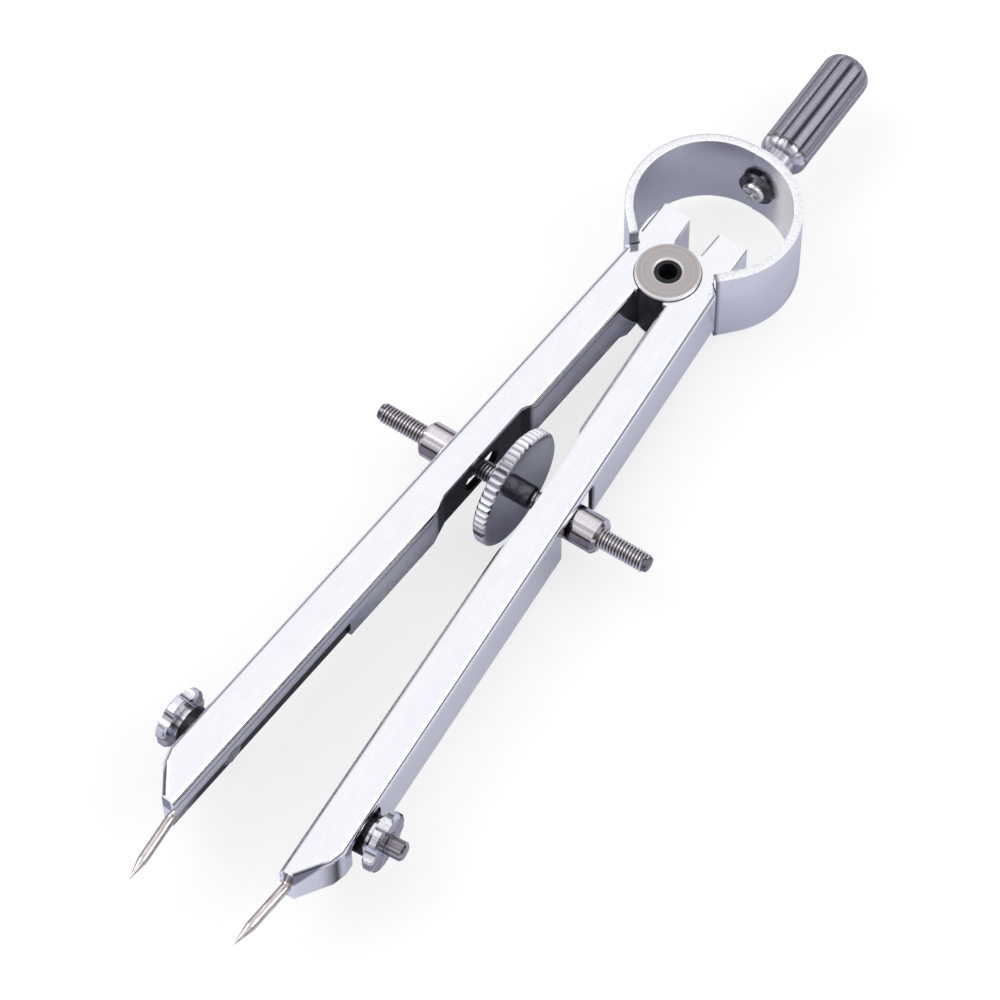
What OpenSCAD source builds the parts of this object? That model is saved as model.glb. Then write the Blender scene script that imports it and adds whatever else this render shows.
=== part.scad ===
// Spring bow compass (divider) with a cross screw, two needles and a fluted handle.
// Every piece is drawn about the pivot: X across the legs, Y towards the handle, Z towards
// the front. placed() then lifts the part so that Z = 0 is its lowest point and X = Y = 0
// is the middle of its outline.

/* [Legs] */
// Angle of each leg from the centre line as the part stands
half_angle = 4.27; // [3.5:0.01:5.5]
// Depth of a leg, front to back
leg_depth = 9.6; // [9:0.1:11]
// Distance of the outer face from the leg line, beside the pivot
leg_outer_top = 7.9; // [7.5:0.05:8.4]
// Distance of the outer face from the leg line, where the tip begins
leg_outer_low = 7.05; // [6.8:0.05:7.5]
// Distance of the inner face from the leg line, beside the pivot
leg_inner_top = 1.95; // [1.6:0.05:2.2]
// Distance of the inner face from the leg line, at the tip
leg_inner_low = 0.6; // [0.4:0.05:0.8]
// Thickness of the leg's folded sheet
leg_sheet = 1; // [0.8:0.05:1.2]
// Pivot to where the solid head ends and the folded channel begins
head_solid = 9; // [7.5:0.5:11]
// Rear edge of the inner flange below the head, behind the pivot's plane
flange_rear_top = 3.3; // [3:0.1:4]
// Rear edge of the inner flange at the tip, behind the pivot's plane
flange_rear_low = 2.4; // [2.2:0.1:2.8]
// Pivot to the end of the tip
leg_length = 110.6; // [108:0.1:114]
// Rear face of the tip, behind the pivot's plane
tip_rear = 2.9; // [2.8:0.1:3.6]
// Length of the bevel at the tip
taper_len = 5.4; // [4.5:0.1:6.5]
// Cut across the corner between the outer face and that bevel
tip_corner = 1.2; // [0.6:0.1:2]
// Width of the tip's end
tip_end_w = 2.2; // [1.8:0.1:2.8]
// Height of the head above the pivot
head_h = 9.65; // [8.5:0.05:10.5]
// Inner edge of the head at its top
head_inner_top = 3.05; // [3:0.05:3.8]
// Outer edge of the head at its top
head_outer_top = 8.1; // [7.4:0.05:8.2]
// Rounding of the long edges at the front
edge_r = 1.1; // [0.5:0.1:1.5]
// Rounding of the long edges at the rear
rear_edge_r = 0.7; // [0.3:0.1:1]
// Rounding of the head's corners
head_corner_r = 0.5; // [0.4:0.1:1.2]
// Rounding of the head's long edges at the front
head_edge_r = 0.6; // [0.3:0.1:1.1]

/* [Pivot] */
// Radius of the roller that both legs turn on
roller_r = 5; // [4.6:0.1:5.2]
// Radius of the roller's stubs
stub_r = 2; // [1.6:0.1:2.4]
// Radius of the blind bore in each stub
stub_bore_r = 1.4; // [0.8:0.1:1.4]
// Depth of that bore
stub_bore_depth = 3; // [1:0.5:4]
// Radius of a pivot washer
pivot_washer_r = 4.9; // [4.5:0.1:5.4]
// Thickness of a pivot washer
pivot_washer_t = 0.65; // [0.5:0.05:1]

/* [Spring ring] */
// Outer radius of the ring's round flanks
ring_r = 12.5; // [12:0.1:13]
// Half of the flat at the ring's top
ring_flat = 0.7; // [0.4:0.1:1.2]
// Height of the flanks' centres above the pivot
ring_height = 12.3; // [12:0.1:12.8]
// Thickness of the strip
strip_t = 1.4; // [1.2:0.05:1.5]
// Width of the strip
strip_w = 14.4; // [12:0.1:16]
// Slope of the strip's straight ends
arm_slope = 47; // [45:0.5:49]
// Length of the strip's straight ends
arm_len = 3.5; // [3.2:0.1:3.7]

/* [Handle] */
// Radius of the grip
grip_r = 3.75; // [3.4:0.05:4.2]
// Ring's top to the handle's top
handle_h = 24.4; // [22:0.1:28]
// How far the handle stands to the right of the ring's middle
handle_off = 1.1; // [0:0.1:1.4]
// Radius of the foot on the ring
foot_r = 3.2; // [3:0.1:3.4]
// Height of the foot
foot_h = 1; // [0.6:0.1:1.4]
// Radius of the waist between foot and grip
waist_r = 2.7; // [2.4:0.1:2.8]
// Ring's top to where the grip reaches its full width
shoulder_h = 5.3; // [5:0.1:6.5]
// Number of flutes
flute_count = 12; // [8:1:16]
// Depth of a flute
flute_depth = 0.5; // [0.3:0.05:0.6]
// Width of a flute
flute_w = 0.9; // [0.5:0.05:1.2]
// Rounding of the grip's top edge
dome_r = 2.2; // [1:0.1:3]
// Radius of the screw in the handle
handle_screw_r = 1; // [0.8:0.1:1.2]
// Length of the screw inside the handle
handle_screw_len = 7; // [5:0.5:10]
// Radius of the screw's pan head
pan_r = 1.8; // [1.6:0.1:2.2]
// Height of the screw's pan head
pan_h = 1.1; // [0.8:0.1:1.4]
// Radius of the washer under the head
seat_washer_r = 2.9; // [2.5:0.1:3.2]
// Thickness of the washer under the head
seat_washer_t = 0.6; // [0.4:0.05:0.8]

/* [Cross screw] */
// Radius of the threaded rod
rod_r = 1.5; // [1.3:0.05:1.7]
// Half of the rod's length
rod_half = 23.2; // [22:0.1:26]
// Pitch of the thread
thread_pitch = 0.5; // [0.4:0.05:0.8]
// Depth of the thread
thread_depth = 0.3; // [0.2:0.05:0.4]
// Pivot to the swivel nut's axis, along the leg
swivel_l = 40.6; // [38:0.1:43]
// Leg line to the swivel nut's axis, across the leg
swivel_d = 4.7; // [4.5:0.1:4.9]
// Outer radius of a swivel nut
nut_r = 2.8; // [2.5:0.05:2.9]
// Swivel axis to the nut's outer end
nut_out = 7.4; // [6.5:0.1:8]
// Swivel axis to the nut's inner end
nut_in = 1; // [0.8:0.05:1.2]
// Radius of the pin that a nut swivels on
pin_r = 1.2; // [1:0.05:1.4]
// Swivel axis to the upper end of the nut's notch in the outer flange
notch_up = 5.3; // [4.8:0.1:6]
// Swivel axis to the lower end of that notch
notch_down = 4.2; // [4.1:0.1:5.4]
// Front edge of the notches in the outer flange, before the pivot's plane
notch_front = 3.3; // [3.1:0.05:3.5]
// Swivel axis to the upper end of the rod's slot in the inner flange
slot_up = 3.8; // [3.6:0.1:8.1]
// Swivel axis to the lower end of that slot
slot_down = 3.8; // [3.6:0.1:8.4]
// Half of the rod slot's height, front to back
slot_half_h = 2.1; // [2.1:0.05:2.7]
// Radius of the thumbwheel
wheel_r = 9.25; // [8.5:0.05:9.8]
// Thickness of the thumbwheel
wheel_t = 2.2; // [1.8:0.1:2.4]
// Number of teeth round the thumbwheel
wheel_teeth = 52; // [40:4:64]
// Depth of a tooth
tooth_depth = 0.4; // [0.2:0.05:0.6]
// Radius of the thumbwheel's hub
hub_r = 1.8; // [1.75:0.05:1.8]
// How far the hub stands out
hub_h = 2.4; // [1:0.1:2.5]
// Depth of the hollow in each leg that the wheel closes into
relief_depth = 0.95; // [0.6:0.05:1.2]
// Swivel axis to the upper end of that hollow
relief_up = 11.9; // [11.1:0.1:12.6]
// Swivel axis to the lower end of that hollow
relief_down = 12.4; // [11.4:0.1:13.4]

/* [Needle clamps] */
// Radius of a needle
needle_r = 0.75; // [0.6:0.05:0.8]
// How far a needle reaches past the clamp's axis
needle_past = 4.3; // [2:0.1:6]
// Length of the needle's point
point_len = 3.4; // [2:0.1:5]
// How far the needle stands out of the leg
needle_out = 11; // [9:0.1:12]
// Lean of the needle, inwards from the leg line
needle_lean = 8.5; // [7:0.1:9.5]
// Leg line to the needle, where it leaves the leg
needle_exit_d = 1.4; // [1.3:0.05:1.5]
// Clamp's axis to the tip's end, along the leg
clamp_up = 12.6; // [11.6:0.1:13.6]
// Clamp's axis to where the solid block round the needle begins
block_up = 10; // [8:0.5:12]
// Radius of the clamp bolt's thread
bolt_r = 1.45; // [1.3:0.05:1.6]
// Radius of the clamp bolt's eye
eye_r = 1.75; // [1.6:0.05:1.85]
// Leg line to the bolt's inner end
bolt_inner_d = 1; // [0.9:0.05:1.2]
// Leg line to the left bolt's outer end
left_bolt_d = 11.8; // [11.6:0.1:14]
// Leg line to the right bolt's outer end
right_bolt_d = 13; // [11.6:0.1:14]
// Leg line to the floor of the clamp's pocket
pocket_floor_d = 5.4; // [5.2:0.05:5.5]
// Clamp's axis to the upper end of its pocket
pocket_up = 3.4; // [3.4:0.1:5]
// Clamp's axis to the lower end of its pocket
pocket_down = 4.3; // [4:0.1:5]
// Radius of the washer on the pocket's floor
clamp_washer_r = 3.1; // [2.9:0.05:3.2]
// Radius of the collar
collar_r = 2.75; // [2.4:0.05:2.9]
// Thickness of the collar
collar_t = 0.9; // [0.6:0.1:1.2]
// Leg line to the left thumb nut's inner face
left_thumb_d = 9.7; // [8.3:0.05:9.8]
// Leg line to the right thumb nut's inner face
right_thumb_d = 8.6; // [8.3:0.05:9.8]
// Thickness of the thumb nut
thumb_nut_t = 1.7; // [1.5:0.1:1.8]
// Radius of the thumb nut
thumb_nut_r = 4.65; // [4.3:0.05:5]
// Number of lobes round the thumb nut
lobe_count = 6; // [5:1:8]
// Radius of the hollows between the lobes
lobe_cut_r = 1.8; // [1.5:0.1:2]
// Depth of those hollows
lobe_depth = 0.65; // [0.4:0.05:0.8]
// Clamp's axis to where the recess in the inner flange begins
groove_up = 26; // [20:0.5:28]
// Depth of that recess
groove_depth = 0.6; // [0.4:0.05:0.65]
// Front edge of that recess, before the pivot's plane
groove_front = 0.9; // [0.85:0.05:1.2]

/* [Clearances] */
// Radial clearance of turning and sliding fits
run_gap = 0.05; // [0.02:0.01:0.08]
// Clearance between faces that rest on each other
seat_gap = 0.05; // [0.02:0.01:0.1]
// Clearance round the ring's ends in the legs' notches
notch_gap = 0.12; // [0.08:0.01:0.2]

/* [Hidden] */
$fn = 64;
CHROME = "#dfe1ea";
SATIN = "#b9b5c0";
STEEL = "#c9c2bf";
BLACK = "#1b1a1d";
// Overshoot of cuts past the faces they open
over = 1;
leg_half = leg_depth / 2;
taper_start = leg_length - taper_len;
clamp_l = leg_length - clamp_up;
block_top = clamp_l - block_up;
pocket_top = clamp_l - pocket_up;
pocket_low = clamp_l + pocket_down;
groove_start = clamp_l - groove_up;
notch_top = swivel_l - notch_up;
notch_low = swivel_l + notch_down;
slot_top = swivel_l - slot_up;
slot_low = swivel_l + slot_down;
relief_top = swivel_l - relief_up;
relief_low = swivel_l + relief_down;
ring_top = ring_height + ring_r;
ring_inner_top = ring_top - strip_t;
handle_top = ring_top + seat_gap + handle_h;
// Face of the web that looks into the channel
web_z = leg_half - leg_sheet;
// End of the blind hole for a nut's pin
pin_hole_z = leg_half - 0.45;
// The rear cavity ends this far below the pivot
cavity_low = pocket_low - 1;
// A cutter that rounds a corner reaches this far past it
cut_margin = 0.6;

// Distance of the inner and outer faces from the leg line at l below the pivot
function inner_d(l) = leg_inner_top + (leg_inner_low - leg_inner_top) * l / leg_length;
function outer_d(l) = leg_outer_top + (leg_outer_low - leg_outer_top) * l / taper_start;

// A point of the right leg, d outwards and l down, in the part's own X and Y
function leg_x(d, l) = d * cos(half_angle) + l * sin(half_angle);
function leg_y(d, l) = d * sin(half_angle) - l * cos(half_angle);

swivel_x = leg_x(swivel_d, swivel_l);
swivel_y = leg_y(swivel_d, swivel_l);
// The needle's line: distance from the leg line at l below the pivot
function needle_d(l) = needle_exit_d + (leg_length - l) * tan(needle_lean);
// Leg line to the collar's inner end
tip_l = leg_length + needle_out * cos(needle_lean);
tip_d = needle_exit_d - needle_out * sin(needle_lean);
tip_y = leg_y(tip_d, tip_l);
y_middle = (handle_top + tip_y) / 2;
needle_len = needle_out + clamp_up / cos(needle_lean) + needle_past;
// Half of the angle between two teeth; the wheel stands on two of them
half_tooth = 180 / wheel_teeth;
// Leg line to the thumb nut's inner face
function thumb_d(side) = side < 0 ? left_thumb_d : right_thumb_d;
// Leg line to the collar's inner face
function collar_d(side) = thumb_d(side) - collar_t;

module placed() {
    translate([0, -y_middle, wheel_r * cos(half_tooth)])
        children();
}

// Draws the right-hand piece, or its mirror image on the left
module sided(side) {
    if (side < 0)
        mirror([1, 0, 0])
            children();
    else
        children();
}

// Turns a piece drawn along the leg line (x outwards, y up) to where the leg stands
module on_leg(side) {
    sided(side)
        rotate([0, 0, half_angle])
            children();
}

// Waste at a square corner at the origin that leaves a rounding of radius r in +X +Y
module corner_waste(r) {
    difference() {
        translate([-cut_margin, -cut_margin])
            square(r + cut_margin);
        translate([r, r])
            circle(r);
    }
}

// Rounds the front and rear edges of the face from a to b, whose solid is on its right
module round_edge(a, b, front_r, rear_r, rear = leg_half) {
    len = norm(b - a);
    translate([a[0], a[1], 0])
        rotate([0, 0, atan2(b[1] - a[1], b[0] - a[0])])
            rotate([90, 0, 90])
                linear_extrude(len) {
                    translate([0, leg_half])
                        rotate([0, 0, 180])
                            corner_waste(front_r);
                    if (rear_r > 0)
                        translate([0, -rear])
                            rotate([0, 0, 90])
                                corner_waste(rear_r);
                }
}

// Room for that arm's end in a leg's side, open outwards
module arm_notch() {
    translate([ring_flat, ring_height])
        rotate([0, 0, arm_slope - 90])
            translate([ring_r - strip_t - notch_gap, -arm_len - notch_gap])
                square([3 * ring_r, 3 * ring_r]);
}

// Right-hand flank of the strip with its straight end
module ring_flank() {
    translate([ring_flat, ring_height, 0])
        rotate([0, 0, arm_slope - 90]) {
            rotate_extrude(angle = 180 - arm_slope)
                translate([ring_r - strip_t, -strip_w / 2])
                    square([strip_t, strip_w]);
            translate([ring_r - strip_t, -arm_len, -strip_w / 2])
                cube([strip_t, arm_len, strip_w]);
        }
}

module spring_ring() {
    color(CHROME)
        placed()
            difference() {
                union() {
                    ring_flank();
                    mirror([1, 0, 0])
                        ring_flank();
                    translate([-ring_flat, ring_inner_top, -strip_w / 2])
                        cube([2 * ring_flat, strip_t, strip_w]);
                }
                translate([handle_off, ring_top + over, 0])
                    rotate([90, 0, 0])
                        cylinder(r = handle_screw_r + run_gap, h = strip_t + 2 * over + seat_drop);
            }
}

// Half outline of the handle: x is the radius, y the height above the ring's top
module handle_profile() {
    shoulder_r = 1.6;
    neck_top = shoulder_h - shoulder_r;
    fillet_r = foot_r - waist_r;
    square([foot_r, foot_h]);
    square([waist_r, neck_top + shoulder_r]);
    difference() {
        translate([0, foot_h])
            square([foot_r, fillet_r]);
        translate([foot_r, foot_h + fillet_r])
            circle(fillet_r);
    }
    difference() {
        translate([0, neck_top])
            square([grip_r, handle_h - neck_top]);
        translate([grip_r, neck_top])
            rotate([0, 0, 90])
                corner_waste(shoulder_r);
        translate([grip_r, handle_h])
            rotate([0, 0, 180])
                corner_waste(dome_r);
    }
}

module handle() {
    flute_floor = grip_r - flute_depth;
    reach = 2;
    half = reach * flute_w / 2 / flute_depth;
    color(SATIN)
        placed()
            translate([handle_off, ring_top + seat_gap, 0])
                rotate([-90, 0, 0])
                    difference() {
                        rotate_extrude()
                            handle_profile();
                        for (k = [0:flute_count - 1])
                            rotate([0, 0, (k + 0.5) * 360 / flute_count])
                                translate([flute_floor, 0, shoulder_h - 1])
                                    linear_extrude(handle_h)
                                        polygon([[0, 0], [reach, half], [reach, -half]]);
                        translate([0, 0, -over])
                            cylinder(r = handle_screw_r + run_gap, h = over + handle_screw_len + 0.5);
                    }
}

// A flat washer meets the curved strip at its rim, this far below the strip's flat
seat_reach = handle_off + seat_washer_r - ring_flat;
seat_drop = ring_r - strip_t - sqrt(pow(ring_r - strip_t, 2) - pow(seat_reach, 2)) + seat_gap;
seat_y = ring_inner_top - seat_drop - seat_washer_t;

module handle_washer() {
    color(STEEL)
        placed()
            translate([handle_off, seat_y, 0])
                rotate([-90, 0, 0])
                    difference() {
                        cylinder(r = seat_washer_r, h = seat_washer_t);
                        translate([0, 0, -over])
                            cylinder(r = handle_screw_r + run_gap, h = seat_washer_t + 2 * over);
                    }
}

module handle_screw() {
    shank = ring_top + seat_gap + handle_screw_len - seat_y;
    cross_w = pan_r * 0.24;
    color(STEEL)
        placed()
            translate([handle_off, seat_y - seat_gap, 0])
                rotate([90, 0, 0])
                    difference() {
                        union() {
                            rotate_extrude()
                                difference() {
                                    square([pan_r, pan_h]);
                                    translate([pan_r, pan_h])
                                        rotate([0, 0, 180])
                                            corner_waste(pan_h * 0.6);
                                }
                            translate([0, 0, -shank])
                                cylinder(r = handle_screw_r, h = shank + pan_h / 2);
                        }
                        for (a = [0, 90])
                            rotate([0, 0, a])
                                translate([-pan_r * 0.6, -cross_w / 2, pan_h * 0.45])
                                    cube([pan_r * 1.2, cross_w, pan_h]);
                    }
}

module pivot_roller() {
    stub_sink = 0.2;
    stub_end = leg_half + seat_gap + pivot_washer_t - stub_sink;
    color(BLACK)
        placed()
            difference() {
                union() {
                    cylinder(r = roller_r, h = leg_depth - 2 * seat_gap, center = true);
                    cylinder(r = stub_r, h = 2 * stub_end, center = true);
                }
                for (s = [0, 1])
                    mirror([0, 0, s])
                        translate([0, 0, stub_end - stub_bore_depth])
                            cylinder(r = stub_bore_r, h = stub_bore_depth + over);
            }
}

washer_bevel = 0.25;

module pivot_washer(side) {
    color(STEEL)
        placed()
            mirror([0, 0, side < 0 ? 1 : 0])
                translate([0, 0, leg_half + seat_gap])
                    rotate_extrude()
                        polygon([
                            [stub_r + run_gap, 0],
                            [pivot_washer_r, 0],
                            [pivot_washer_r, pivot_washer_t - washer_bevel],
                            [pivot_washer_r - washer_bevel, pivot_washer_t],
                            [stub_r + run_gap + washer_bevel, pivot_washer_t],
                            [stub_r + run_gap, pivot_washer_t - washer_bevel]
                        ]);
}

module front_washer() {
    pivot_washer(1);
}

module back_washer() {
    pivot_washer(-1);
}

// Outer corners of the tip, along the leg line
corner_top = [outer_d(taper_start - tip_corner), tip_corner - taper_start];
tip_outer = [inner_d(leg_length) + tip_end_w, -leg_length];
bevel_corner = [outer_d(taper_start), -taper_start];
corner_low = bevel_corner + (tip_outer - bevel_corner) * tip_corner / norm(tip_outer - bevel_corner);

// Outline of a leg seen from the front, along the leg line, without the wheel's hollow
module leg_outline() {
    difference() {
        polygon([
            [inner_d(0), 0],
            [head_inner_low_d, head_inner_low_h],
            [head_inner_top, head_h],
            [head_outer_top, head_h],
            [head_outer_low_d, head_outer_low_h],
            [outer_d(0), 0],
            corner_top,
            corner_low,
            tip_outer,
            [inner_d(leg_length), -leg_length]
        ]);
        translate([head_inner_top, head_h])
            rotate([0, 0, -90])
                corner_waste(head_corner_r);
        translate([head_outer_top, head_h])
            rotate([0, 0, 180])
                corner_waste(head_corner_r);
    }
}
head_inner_low_d = 2.5;
head_inner_low_h = 5.1;
head_outer_low_d = 7.75;
head_outer_low_h = 3.5;
relief_slope = 2.6;

// Hollow in the inner face that the thumbwheel closes into
module wheel_relief() {
    polygon([
        [inner_d(relief_top) - over, -relief_top + over],
        [inner_d(relief_top), -relief_top],
        [inner_d(relief_top) + relief_depth, -relief_top - relief_slope],
        [inner_d(relief_low) + relief_depth, -relief_low + 1.4 * relief_slope],
        [inner_d(relief_low), -relief_low],
        [inner_d(relief_low) - over, -relief_low - over]
    ]);
}

// Hollow of the folded channel: the leg's outline less the sheet, from l0 to l1
module channel(l0, l1) {
    polygon([
        [inner_d(l0) + leg_sheet, -l0],
        [outer_d(l0) - leg_sheet, -l0],
        [outer_d(l1) - leg_sheet, -l1],
        [inner_d(l1) + leg_sheet, -l1]
    ]);
}

// The sheet keeps its thickness where the inner flange steps round the thumbwheel
module channel_step() {
    polygon([
        [inner_d(relief_top) + leg_sheet - over, -relief_top + over],
        [inner_d(relief_top) + leg_sheet, -relief_top],
        [inner_d(relief_top) + relief_depth + leg_sheet, -relief_top - relief_slope],
        [inner_d(relief_low) + relief_depth + leg_sheet, -relief_low + relief_slope],
        [inner_d(relief_low) + leg_sheet, -relief_low],
        [inner_d(relief_low) + leg_sheet - over, -relief_low - over]
    ]);
}

// What lies behind the inner flange's rear edge, and behind the block round the needle
module flange_waste() {
    flange_slope = 3;
    translate([-over, 0, 0])
        rotate([90, 0, 90])
            linear_extrude(over + inner_d(0) + relief_depth + leg_sheet)
                polygon([
                    [-head_solid, -flange_rear_top],
                    [-leg_length - over, -flange_rear_low],
                    [-leg_length - over, -leg_half - over],
                    [-head_solid + flange_slope, -leg_half - over]
                ]);
}

// What lies behind the tip's rear face, below the clamp's pocket
module tip_waste() {
    translate([-over, -leg_length - over, -leg_half - over])
        cube([leg_outer_top + 2 * over, leg_length + over - pocket_low, leg_half + over - tip_rear]);
}

// Opening in the outer side from l0 to l1 below the pivot, open to the rear
module side_notch(l0, l1, d0) {
    corner = 1.2;
    depth = outer_d(0) + over - d0;
    translate([d0, -l1, -leg_half - over]) {
        cube([depth, l1 - l0, leg_half + over + notch_front - corner]);
        translate([0, corner, 0])
            cube([depth, l1 - l0 - 2 * corner, leg_half + over + notch_front]);
    }
    for (l = [l0 + corner, l1 - corner])
        translate([d0, -l, notch_front - corner])
            rotate([0, 90, 0])
                cylinder(r = corner, h = depth);
}

// Slot with round ends in the inner flange, for the rod and the hub
module rod_slot() {
    depth = over + inner_d(0) + relief_depth + leg_sheet;
    translate([-over, 0, 0])
        rotate([0, 90, 0]) {
            for (l = [slot_top + slot_half_h, slot_low - slot_half_h])
                translate([0, -l, 0])
                    cylinder(r = slot_half_h, h = depth);
            translate([-slot_half_h, slot_half_h - slot_low, 0])
                cube([2 * slot_half_h, slot_low - slot_top - 2 * slot_half_h, depth]);
        }
}

// Bore that the needle slides in, and the recess over it in the inner face
module needle_way() {
    translate([needle_exit_d, -leg_length, 0])
        rotate([0, 0, -needle_lean])
            rotate([-90, 0, 0])
                translate([0, 0, -3 * over])
                    cylinder(r = needle_r + run_gap, h = leg_length - block_top + 6 * over);
    difference() {
        translate([-over, -leg_length - over, -leg_half - over])
            cube([2 * over + inner_d(0), leg_length + over - groove_start, leg_half + over + groove_front]);
        translate([0, 0, -leg_half - 2 * over])
            linear_extrude(leg_depth + 2 * over)
                polygon([
                    [inner_d(groove_start) + groove_depth, -groove_start + over],
                    [inner_d(leg_length) + groove_depth, -leg_length - 2 * over],
                    [leg_outer_top, -leg_length - 2 * over],
                    [leg_outer_top, -groove_start + over]
                ]);
    }
}

module leg(side) {
    color(CHROME)
        placed()
            on_leg(side)
                difference() {
                    linear_extrude(leg_depth, center = true)
                        difference() {
                            leg_outline();
                            wheel_relief();
                            circle(roller_r + run_gap);
                            rotate([0, 0, -half_angle])
                                arm_notch();
                        }
                    translate([0, 0, -leg_half - over])
                        linear_extrude(web_z + leg_half + over)
                            difference() {
                                channel(head_solid, block_top);
                                channel_step();
                            }
                    translate([0, 0, -leg_half - over])
                        linear_extrude(leg_half + over - flange_rear_low)
                            channel(block_top - over, cavity_low);
                    flange_waste();
                    tip_waste();
                    round_edge([outer_d(0), 0], corner_top, edge_r, rear_edge_r);
                    round_edge([outer_d(pocket_low), -pocket_low], corner_top, edge_r, edge_r, tip_rear);
                    round_edge(corner_top, corner_low, edge_r, edge_r, tip_rear);
                    round_edge(corner_low, tip_outer, edge_r, edge_r, tip_rear);
                    round_edge([inner_d(leg_length), -leg_length],
                        [inner_d(roller_r), -roller_r], edge_r, 0);
                    round_edge([head_outer_top, head_h],
                        [head_outer_low_d, head_outer_low_h], head_edge_r, rear_edge_r);
                    round_edge([head_inner_low_d, head_inner_low_h],
                        [head_inner_top, head_h], head_edge_r, rear_edge_r);
                    side_notch(notch_top, notch_low, swivel_d);
                    side_notch(pocket_top, pocket_low, pocket_floor_d);
                    rod_slot();
                    translate([swivel_d, -swivel_l, 0])
                        cylinder(r = pin_r + run_gap, h = pin_hole_z);
                    translate([-over, -clamp_l, 0])
                        rotate([0, 90, 0])
                            cylinder(r = eye_r + run_gap, h = pocket_floor_d + 2 * over);
                    needle_way();
                }
}

module left_leg() {
    leg(-1);
}

module right_leg() {
    leg(1);
}

// Threaded sleeve on the rod, with the pin that it swivels on in the leg's web
module swivel_nut(side) {
    chamfer = 0.5;
    pin_end = pin_hole_z - seat_gap;
    pin_root = rod_r + run_gap + 0.3;
    color(STEEL)
        placed()
            sided(side)
                translate([swivel_x, swivel_y, 0]) {
                    rotate([0, 90, 0])
                        rotate_extrude()
                            polygon([
                                [rod_r + run_gap, -nut_in],
                                [nut_r - chamfer, -nut_in],
                                [nut_r, chamfer - nut_in],
                                [nut_r, nut_out - chamfer],
                                [nut_r - chamfer, nut_out],
                                [rod_r + run_gap, nut_out]
                            ]);
                    intersection() {
                        translate([0, 0, pin_root])
                            cylinder(r = pin_r, h = pin_end - pin_root);
                        translate([-nut_in, -nut_r, 0])
                            cube([nut_in + nut_out, 2 * nut_r, leg_half]);
                    }
                }
}

module left_nut() {
    swivel_nut(-1);
}

module right_nut() {
    swivel_nut(1);
}

// Rod with V threads; its two halves are of opposite hand, which rings stand in for
module adjusting_screw() {
    end_bevel = 0.4;
    turns = floor((rod_half - end_bevel - wheel_t / 2 - 0.2) / thread_pitch);
    first = rod_half - end_bevel - turns * thread_pitch;
    color(STEEL)
        placed()
            translate([0, swivel_y, 0])
                rotate([0, 90, 0])
                    rotate_extrude()
                        polygon([
                            [0, -rod_half],
                            [rod_r - end_bevel, -rod_half],
                            for (k = [0:turns - 1])
                                for (p = [0, 0.5])
                                    [rod_r - 2 * p * thread_depth,
                                        -rod_half + end_bevel + (k + p) * thread_pitch],
                            [rod_r, -first],
                            [rod_r, first],
                            for (k = [turns - 1:-1:0])
                                for (p = [0.5, 0])
                                    [rod_r - 2 * p * thread_depth,
                                        rod_half - end_bevel - (k + p) * thread_pitch],
                            [rod_r - end_bevel, rod_half],
                            [0, rod_half]
                        ]);
}

module thumbwheel() {
    rim = 0.4;
    color(CHROME)
        placed()
            translate([0, swivel_y, 0])
                rotate([0, 90, 0])
                    difference() {
                        intersection() {
                            linear_extrude(wheel_t, center = true)
                                polygon([
                                    for (k = [0:2 * wheel_teeth - 1])
                                        let (r = wheel_r - (1 - k % 2) * tooth_depth, a = k * half_tooth)
                                            [r * cos(a), r * sin(a)]
                                ]);
                            rotate_extrude()
                                polygon([
                                    [0, -wheel_t / 2],
                                    [wheel_r - rim, -wheel_t / 2],
                                    [wheel_r, -wheel_t / 2 + rim],
                                    [wheel_r, wheel_t / 2 - rim],
                                    [wheel_r - rim, wheel_t / 2],
                                    [0, wheel_t / 2]
                                ]);
                        }
                        cylinder(r = rod_r + run_gap, h = 2 * wheel_t, center = true);
                    }
}

module wheel_hub() {
    bevel = 0.3;
    color(STEEL)
        placed()
            translate([wheel_t / 2, swivel_y, 0])
                rotate([0, 90, 0])
                    rotate_extrude()
                        polygon([
                            [rod_r + run_gap, 0],
                            [hub_r, 0],
                            [hub_r, hub_h - bevel],
                            [hub_r - bevel, hub_h],
                            [rod_r + run_gap, hub_h]
                        ]);
}

// Eye bolt across the leg; the needle passes through its eye
module clamp_bolt(side) {
    eye_d = needle_d(clamp_l);
    eye_end = pocket_floor_d - 0.2;
    bolt_end = side < 0 ? left_bolt_d : right_bolt_d;
    bevel = 0.3;
    color(STEEL)
        placed()
            on_leg(side)
                translate([0, -clamp_l, 0])
                    difference() {
                        rotate([0, 90, 0]) {
                            translate([0, 0, bolt_inner_d])
                                cylinder(r = eye_r, h = eye_end - bolt_inner_d);
                            translate([0, 0, eye_end - over])
                                cylinder(r = bolt_r, h = bolt_end - bevel - eye_end + over);
                            translate([0, 0, bolt_end - bevel])
                                cylinder(r1 = bolt_r, r2 = bolt_r - bevel, h = bevel);
                        }
                        translate([eye_d, 0, 0])
                            rotate([0, 0, -needle_lean])
                                rotate([90, 0, 0])
                                    cylinder(r = needle_r + run_gap, h = 6 * eye_r, center = true);
                    }
}

module left_clamp_bolt() {
    clamp_bolt(-1);
}

module right_clamp_bolt() {
    clamp_bolt(1);
}

// Plain ring on the clamp bolt, from d0 to d1 across the leg
module bolt_ring(side, r, d0, d1) {
    placed()
        on_leg(side)
            translate([d0, -clamp_l, 0])
                rotate([0, 90, 0])
                    difference() {
                        cylinder(r = r, h = d1 - d0);
                        translate([0, 0, -over])
                            cylinder(r = bolt_r + run_gap, h = d1 - d0 + 2 * over);
                    }
}

// Between the pocket's floor and the collar
module clamp_washer(side) {
    color(BLACK)
        bolt_ring(side, clamp_washer_r, pocket_floor_d + seat_gap, collar_d(side) - seat_gap);
}

module left_clamp_washer() {
    clamp_washer(-1);
}

module right_clamp_washer() {
    clamp_washer(1);
}

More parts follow.
